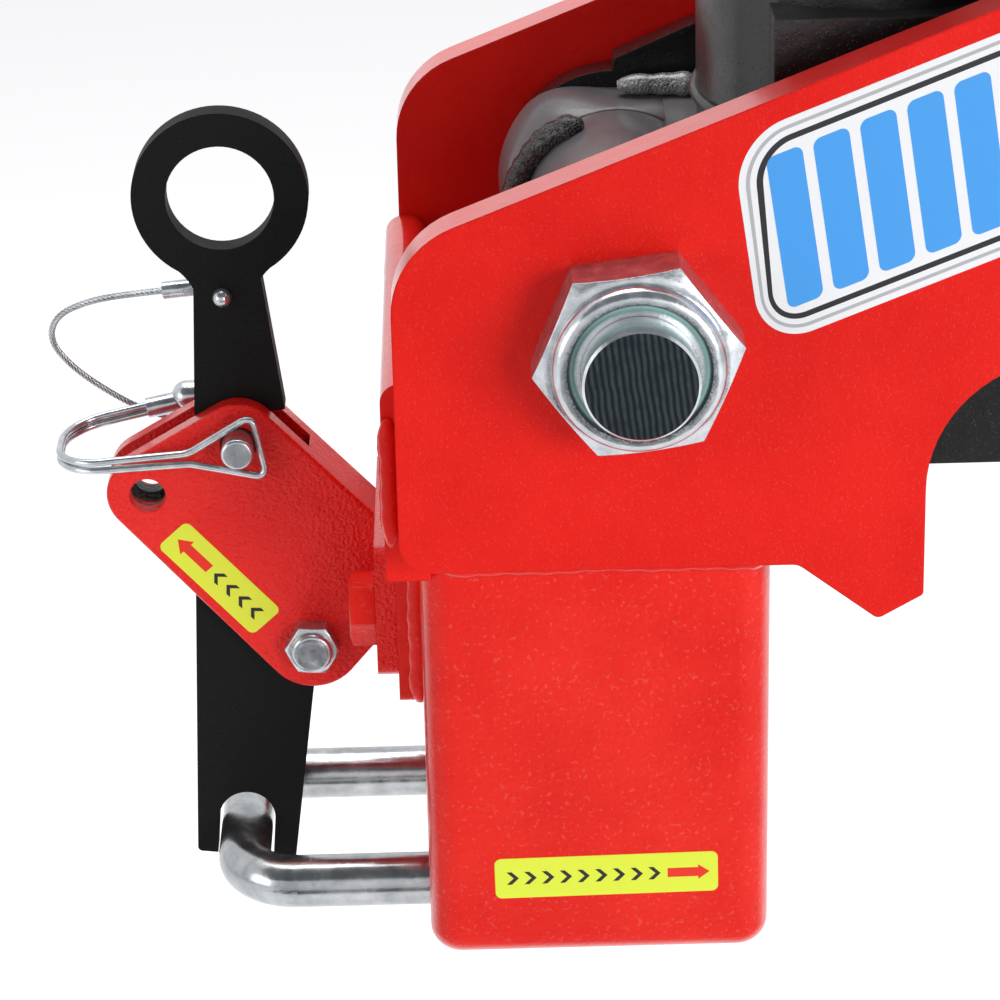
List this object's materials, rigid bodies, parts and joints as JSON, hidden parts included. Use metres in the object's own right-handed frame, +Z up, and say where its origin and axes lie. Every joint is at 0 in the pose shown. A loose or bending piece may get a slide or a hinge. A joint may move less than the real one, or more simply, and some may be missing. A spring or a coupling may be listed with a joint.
{
  "type": "gooseneck coupler",
  "caption": "Gooseneck ball coupler: ball socket block on a sprung pivoting arm, hand lever with sliding shackle lock, lock pin on a lanyard, and a tubular stem on an upper frame.",
  "frame": {"origin": "centre of the ball socket's mouth, on the underside of the coupler block", "axes": "+X points to the rear of the arm, +Y to the far side, +Z up along the stem"},
  "size_m": [0.5132, 0.2158, 0.52],
  "materials": {
    "red_paint": "glossy enamel over sawn and cast steel",
    "red_cast_paint": "enamel with an orange-peel skin over cast steel",
    "black_paint": "glossy enamel",
    "black_coat": "fine-textured matt powder coat",
    "zinc": "bright zinc plate",
    "wire_rope": "stranded galvanised wire",
    "nylon": "pale nylon",
    "washer_plastic": "black thrust washer plastic",
    "bronze": "bearing bronze",
    "brass": "turned brass",
    "rubber": "moulded rubber"
  },
  "bodies": {
    "upper_frame": {"thrust_washers": "washer_plastic", "pivot_barrel": "black_paint", "pivot_bushes": "bronze", "frame_plate_near": "black_paint", "frame_plate_far": "black_paint", "deck_plate": "black_paint", "stem_base": "black_paint", "stem_tube": "black_paint", "stem_gussets": "black_paint", "bottom_shelf": "black_paint", "spring_top_plate": "black_paint", "frame_rear_web": "black_paint", "spring_top_bead": "zinc", "spring_top_nuts": "zinc", "air_spring": "rubber", "air_inlet": "brass"},
    "coupler_arm": {"side_plate_near": "red_paint", "side_plate_far": "red_paint", "nose_plate": "red_paint", "spring_seat_plate": "red_paint", "tail_plate": "red_paint", "coupler_block": "red_paint", "mount_pad": "red_paint", "lever_bracket": "red_cast_paint", "bracket_bolts": "red_paint", "lever_pivot_bolt": "zinc", "lever_pivot_nut": "zinc", "main_pivot_bolt": "zinc", "main_pivot_nut": "zinc", "main_nut_insert": "nylon", "spring_bottom_bead": "zinc", "spring_bottom_nuts": "zinc"},
    "lever": {"lever": "black_coat", "lanyard_rivet": "zinc", "lanyard_ferrule": "zinc", "lanyard": "wire_rope", "lanyard_stop": "zinc"},
    "shackle": {"shackle": "zinc"},
    "lock_pin": {"lock_pin": "zinc", "snap_wire": "zinc", "wire_sleeve": "zinc"}
  },
  "joints": [
    {"name": "arm_hinge", "type": "hinge", "parent": "upper_frame", "child": "coupler_arm", "pos_m": [0.0115, 0, 0.201], "axis": [0, 1, 0], "range_deg": [-4, 4], "stiffness_Nm_per_rad": 8000, "deforming": ["air_spring"]},
    {"name": "lever_hinge", "type": "hinge", "parent": "coupler_arm", "child": "lever", "pos_m": [-0.0836, 0, 0.0791], "axis": [0, -1, 0], "range_deg": [0, 27]},
    {"name": "shackle_slide", "type": "slide", "parent": "coupler_arm", "child": "shackle", "axis": [1, 0, 0], "range_m": [0, 0.0325]},
    {"name": "pin_turn", "type": "hinge", "parent": "coupler_arm", "child": "lock_pin", "pos_m": [-0.10286, 0, 0.14453], "axis": [0, -1, 0], "range_deg": [-8, 3]}
  ],
  "couplings": [
    {"joint": "shackle_slide", "follows": "lever_hinge", "m_per_rad": 0.0682}
  ]
}
